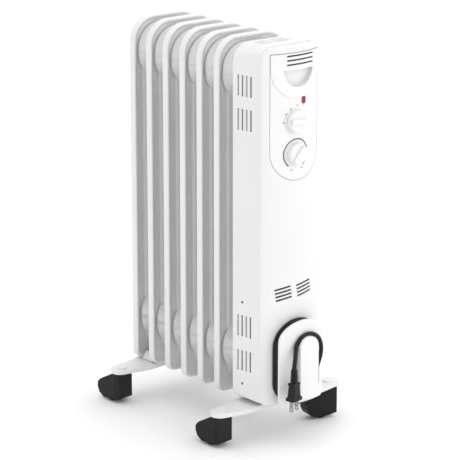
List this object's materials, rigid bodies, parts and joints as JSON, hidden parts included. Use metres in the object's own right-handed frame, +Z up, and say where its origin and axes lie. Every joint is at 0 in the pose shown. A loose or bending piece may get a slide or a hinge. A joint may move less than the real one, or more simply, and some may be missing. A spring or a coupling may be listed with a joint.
{
  "type": "oil filled radiator heater",
  "caption": "Upright oil filled radiator with pressed steel sections, a crowned control housing, a cord wrap on its front and foot bars on swivel casters.",
  "frame": {"origin": "centre of the footprint, on the floor", "axes": "+Z up, the control panel faces -Y, +X to the right as seen from the front"},
  "size_m": [0.252, 0.3918, 0.62],
  "materials": {
    "white_enamel": "satin",
    "white_plastic": "satin",
    "bare_steel": "brushed",
    "nickel_prong": "polished",
    "black_plastic": "satin",
    "cord_vinyl": "satin",
    "red_lens": "gloss",
    "lamp_glass": "gloss",
    "terminal_cream": "matte"
  },
  "bodies": {
    "heater": {"fin_1": "white_enamel", "fin_2": "white_enamel", "fin_3": "white_enamel", "fin_4": "white_enamel", "fin_5": "white_enamel", "fin_6": "white_enamel", "fin_7": "white_enamel", "header_upper": "white_enamel", "header_lower": "white_enamel", "header_plug": "white_enamel", "heater_flange": "bare_steel", "heating_element": "bare_steel", "filler_plug": "bare_steel", "heat_shield": "bare_steel", "housing_shell": "white_enamel", "top_grille": "white_enamel", "front_panel": "white_enamel", "control_panel": "white_plastic", "handle_bezel": "white_plastic", "rotary_switch": "black_plastic", "thermostat_body": "black_plastic", "indicator_lens": "red_lens", "neon_lamp": "lamp_glass", "thermal_cutout": "bare_steel", "tip_switch_case": "black_plastic", "terminal_block": "terminal_cream", "cord_core": "white_plastic", "cord_plate": "white_plastic", "cord_hook": "white_plastic", "cord_gland": "cord_vinyl", "cord_lead": "cord_vinyl", "cord_coil": "cord_vinyl", "cord_tail": "cord_vinyl", "plug_body": "cord_vinyl", "plug_prong_1": "nickel_prong", "plug_prong_2": "nickel_prong", "foot_bar_front": "white_enamel", "foot_bar_rear": "white_enamel", "foot_saddle_front": "white_enamel", "foot_saddle_rear": "white_enamel", "clamp_front": "bare_steel", "clamp_rear": "bare_steel"},
    "mode_selector": {"selector_knob": "white_plastic", "selector_shaft": "bare_steel"},
    "thermostat_dial": {"thermostat_knob": "white_plastic", "thermostat_shaft": "bare_steel"},
    "tip_pendulum": {"tip_pendulum": "bare_steel"},
    "caster_fl": {"caster_hood_fl": "black_plastic", "caster_axle_fl": "bare_steel"},
    "wheel_fl": {"caster_wheel_fl": "black_plastic"},
    "caster_fr": {"caster_hood_fr": "black_plastic", "caster_axle_fr": "bare_steel"},
    "wheel_fr": {"caster_wheel_fr": "black_plastic"},
    "caster_rl": {"caster_hood_rl": "black_plastic", "caster_axle_rl": "bare_steel"},
    "wheel_rl": {"caster_wheel_rl": "black_plastic"},
    "caster_rr": {"caster_hood_rr": "black_plastic", "caster_axle_rr": "bare_steel"},
    "wheel_rr": {"caster_wheel_rr": "black_plastic"}
  },
  "joints": [
    {"name": "mode_turn", "type": "hinge", "parent": "heater", "child": "mode_selector", "pos_m": [-0.004, -0.163, 0.5045], "axis": [0, 1, 0], "range_deg": [0, 99]},
    {"name": "thermostat_turn", "type": "hinge", "parent": "heater", "child": "thermostat_dial", "pos_m": [-0.0026, -0.163, 0.454], "axis": [0, 1, 0], "range_deg": [0, 280]},
    {"name": "tip_swing", "type": "hinge", "parent": "heater", "child": "tip_pendulum", "pos_m": [0.03, -0.126, 0.106], "axis": [0, 1, 0], "range_deg": [-18, 18]},
    {"name": "swivel_fl", "type": "hinge", "parent": "heater", "child": "caster_fl", "pos_m": [-0.108, -0.112, 0.05], "axis": [0, 0, 1], "continuous": true},
    {"name": "roll_fl", "type": "hinge", "parent": "caster_fl", "child": "wheel_fl", "pos_m": [-0.11078, -0.09624, 0.018], "axis": [0.9848, 0.1736, 0], "continuous": true},
    {"name": "swivel_fr", "type": "hinge", "parent": "heater", "child": "caster_fr", "pos_m": [0.108, -0.112, 0.05], "axis": [0, 0, 1], "continuous": true},
    {"name": "roll_fr", "type": "hinge", "parent": "caster_fr", "child": "wheel_fr", "pos_m": [0.09224, -0.10922, 0.018], "axis": [0.1736, 0.9848, 0], "continuous": true},
    {"name": "swivel_rl", "type": "hinge", "parent": "heater", "child": "caster_rl", "pos_m": [-0.108, 0.1433, 0.05], "axis": [0, 0, 1], "continuous": true},
    {"name": "roll_rl", "type": "hinge", "parent": "caster_rl", "child": "wheel_rl", "pos_m": [-0.11078, 0.15906, 0.018], "axis": [0.9848, 0.1736, 0], "continuous": true},
    {"name": "swivel_rr", "type": "hinge", "parent": "heater", "child": "caster_rr", "pos_m": [0.108, 0.1433, 0.05], "axis": [0, 0, 1], "continuous": true},
    {"name": "roll_rr", "type": "hinge", "parent": "caster_rr", "child": "wheel_rr", "pos_m": [0.10522, 0.15906, 0.018], "axis": [0.9848, 0.1736, 0], "continuous": true}
  ]
}
